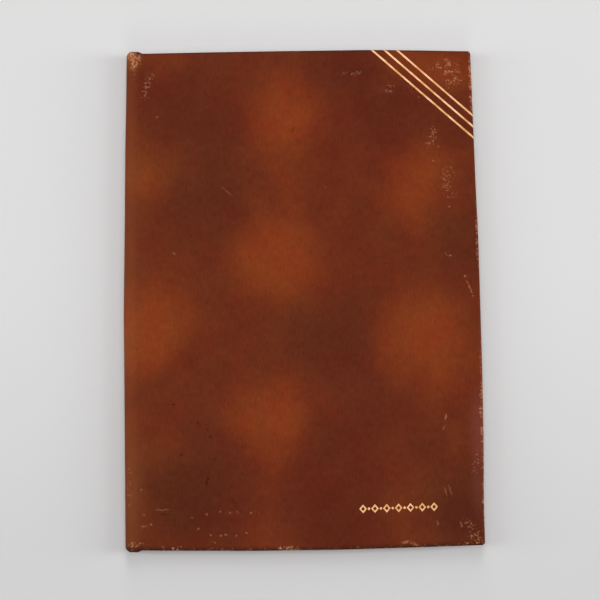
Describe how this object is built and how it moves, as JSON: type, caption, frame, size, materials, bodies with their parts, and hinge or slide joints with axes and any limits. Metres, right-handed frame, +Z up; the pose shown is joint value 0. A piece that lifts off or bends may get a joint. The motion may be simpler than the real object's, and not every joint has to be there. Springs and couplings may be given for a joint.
{
  "type": "leather portfolio",
  "caption": "Slim leather portfolio whose front cover opens flat on a soft spine, with inside pockets for papers, cards and a writing pad.",
  "frame": {"origin": "centre of the face that the closed portfolio lies on", "axes": "+X from the spine to the fore edge, +Y from the tail to the head, +Z up through the front cover"},
  "size_m": [0.242, 0.3438, 0.012],
  "materials": {
    "cover_leather": "worn brown calf with a soft sheen",
    "lining_leather": "smooth thin lining leather",
    "pocket_leather": "smooth calf with stitched edges",
    "board": "grey pasteboard",
    "gilt": "gold foil"
  },
  "bodies": {
    "back": {"back_cover_leather": "cover_leather", "back_board": "board", "back_lining": "lining_leather", "pad_pocket": "pocket_leather", "lower_fold": "cover_leather", "lower_fold_lining": "lining_leather"},
    "spine": {"spine_leather": "cover_leather", "spine_lining": "lining_leather"},
    "front": {"front_cover_leather": "cover_leather", "front_board": "board", "front_lining": "lining_leather", "document_pocket": "pocket_leather", "card_pocket": "pocket_leather", "upper_fold": "cover_leather", "upper_fold_lining": "lining_leather", "gilt_rules": "gilt", "gilt_ornament": "gilt"}
  },
  "joints": [
    {"name": "spine_hinge", "type": "hinge", "parent": "back", "child": "spine", "pos_m": [-0.12001, 0, 0.00099], "axis": [0, -1, 0], "range_deg": [0, 90], "deforming": ["lower_fold", "lower_fold_lining"]},
    {"name": "cover_hinge", "type": "hinge", "parent": "spine", "child": "front", "pos_m": [-0.12001, 0, 0.01101], "axis": [0, -1, 0], "range_deg": [0, 90], "deforming": ["upper_fold", "upper_fold_lining"]}
  ],
  "couplings": [
    {"joint": "cover_hinge", "follows": "spine_hinge", "ratio": 1}
  ]
}
